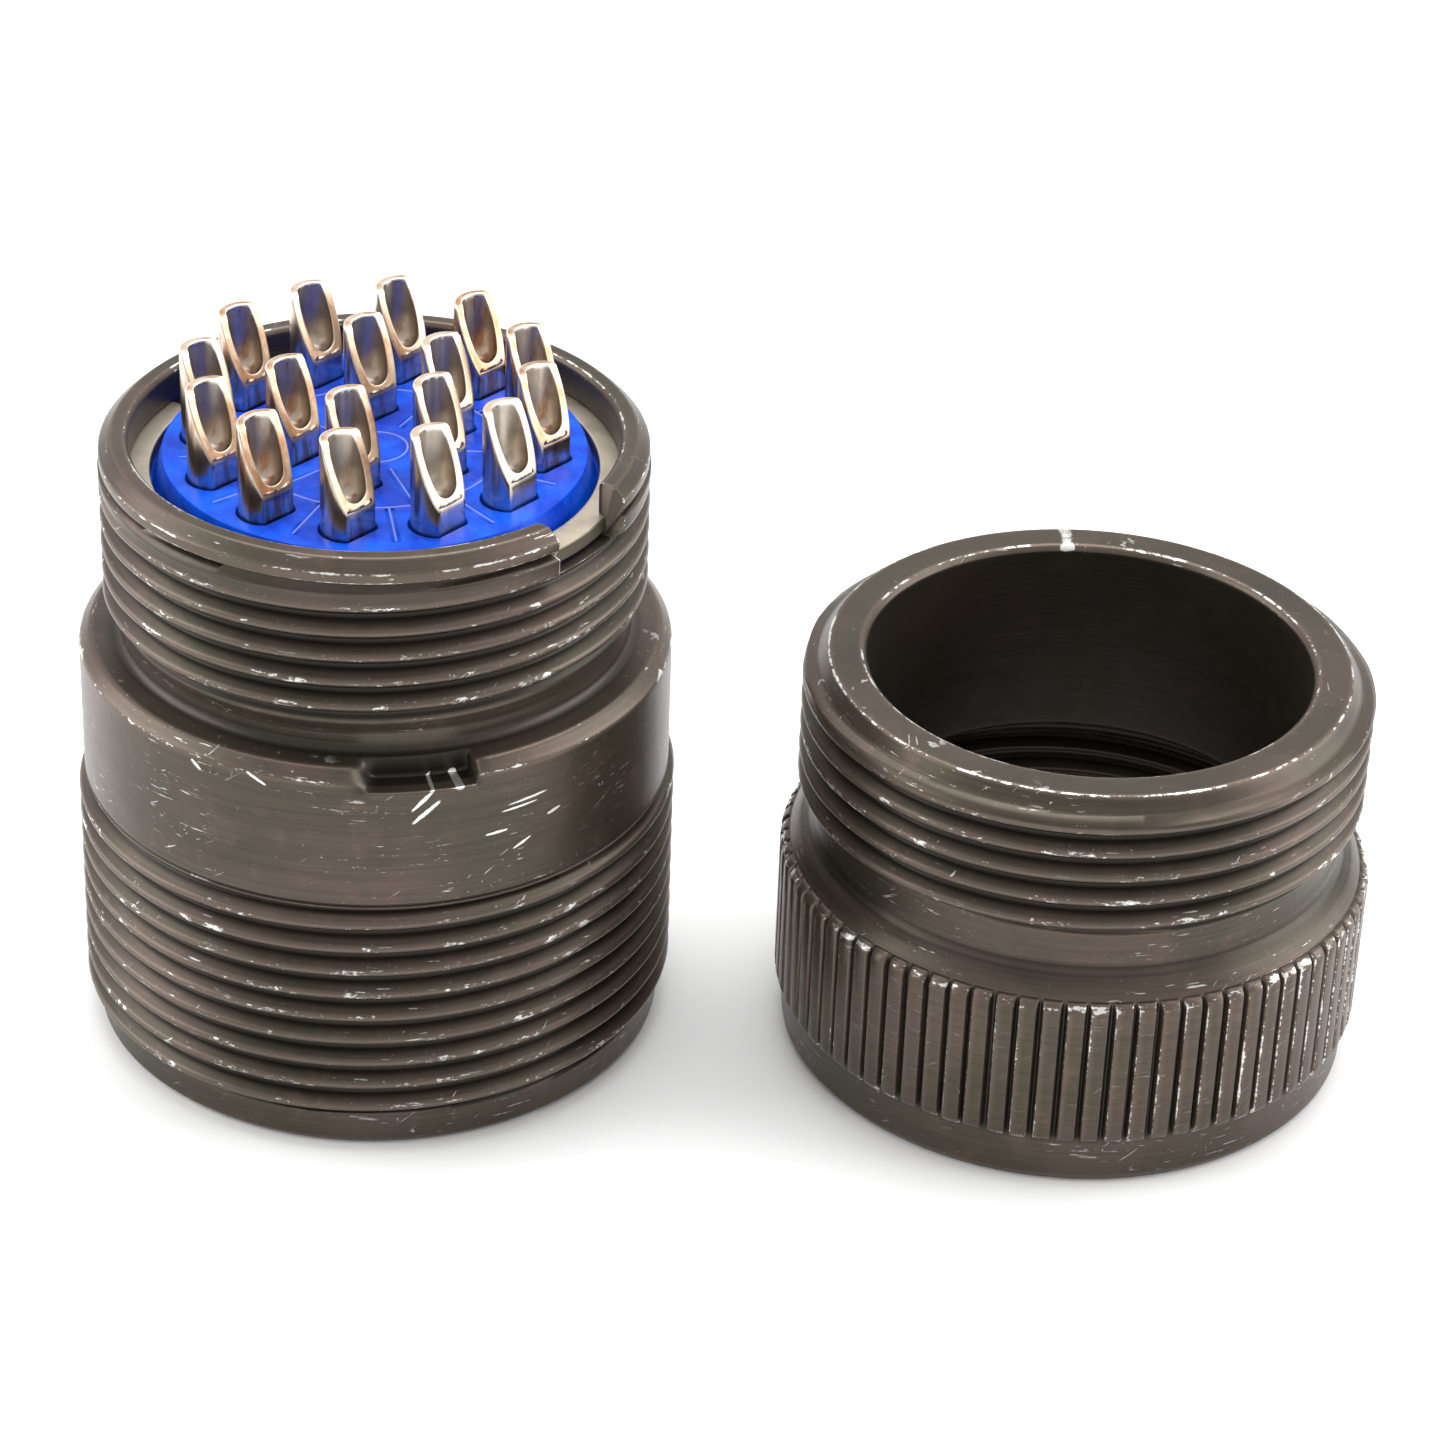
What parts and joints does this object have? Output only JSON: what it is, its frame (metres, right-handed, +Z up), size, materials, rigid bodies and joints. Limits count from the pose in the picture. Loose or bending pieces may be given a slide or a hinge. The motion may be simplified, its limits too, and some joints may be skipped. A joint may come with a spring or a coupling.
{
  "type": "circular cable connector",
  "caption": "Threaded circular multi-pin cable connector, solder cups up in a blue insert, with its loose knurled backshell standing beside it.",
  "frame": {"origin": "centre of the connector's mating rim, in the plane it stands on", "axes": "+Z up along the connector's axis from the mating rim to the solder cups; +X towards the backshell standing beside it; -Y is the side seen in front"},
  "size_m": [0.0689, 0.0323, 0.0381],
  "materials": {
    "olive_plating": "dark olive-drab conversion plating over turned aluminium, satin, worn bright on crests and edges",
    "front_insert_plastic": "hard moulded thermoset",
    "blue_insert_plastic": "royal-blue moulded plastic, semi-gloss",
    "spring_steel": "satin plated spring steel",
    "plated_contact": "bright silver plate with a warm gold tint, near mirror"
  },
  "bodies": {
    "connector": {"receptacle_shell": "olive_plating", "front_insert": "front_insert_plastic", "rear_insert": "blue_insert_plastic", "insert_retaining_ring": "spring_steel", "contact_a": "plated_contact", "contact_b": "plated_contact", "contact_c": "plated_contact", "contact_d": "plated_contact", "contact_e": "plated_contact", "contact_f": "plated_contact", "contact_g": "plated_contact", "contact_h": "plated_contact", "contact_j": "plated_contact", "contact_k": "plated_contact", "contact_l": "plated_contact", "contact_m": "plated_contact", "contact_n": "plated_contact", "contact_p": "plated_contact", "contact_r": "plated_contact", "contact_s": "plated_contact", "contact_t": "plated_contact"},
    "loose_backshell": {"backshell": "olive_plating"}
  },
  "joints": [
    {"name": "backshell_lift", "type": "slide", "parent": "connector", "child": "loose_backshell", "axis": [0, 0, 1], "range_m": [0, 0.06]}
  ]
}
